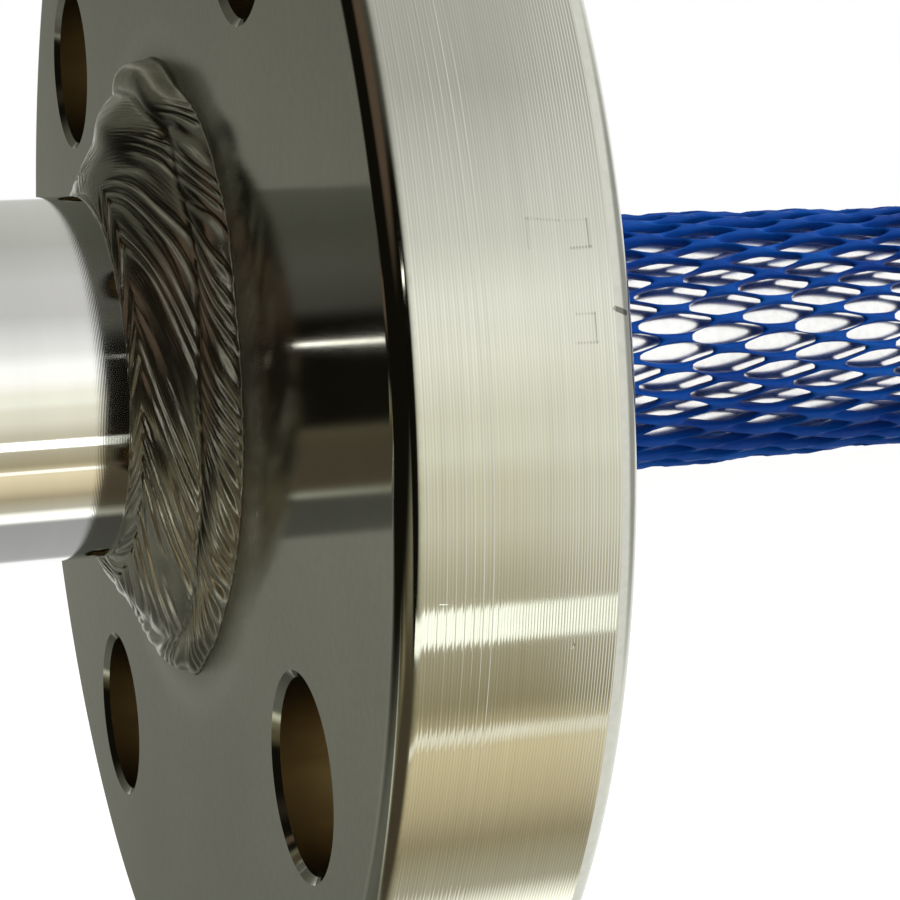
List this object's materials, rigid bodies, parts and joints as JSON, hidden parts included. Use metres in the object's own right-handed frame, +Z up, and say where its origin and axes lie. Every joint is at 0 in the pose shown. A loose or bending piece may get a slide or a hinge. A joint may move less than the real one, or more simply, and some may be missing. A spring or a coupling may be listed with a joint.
{
  "type": "thermowell",
  "caption": "Flanged steel thermowell with a turned stub, welded plate flange, tapered shank and a blue plastic net sleeve over the shank.",
  "frame": {"origin": "centre of the raised gasket face, from which the insertion length is measured", "axes": "+X along the well's axis towards its tip, +Z up, with the four bolt holes straddling both centre lines"},
  "size_m": [0.228, 0.115, 0.115],
  "materials": {
    "turned_steel": "fine turned",
    "polished_steel": "polished",
    "weld_metal": "as welded and brushed",
    "net_plastic": "smooth blue polyethylene"
  },
  "bodies": {
    "root": {"flange": "turned_steel", "well_body": "polished_steel", "back_weld": "weld_metal", "front_weld": "weld_metal", "net_sleeve": "net_plastic"}
  },
  "joints": []
}
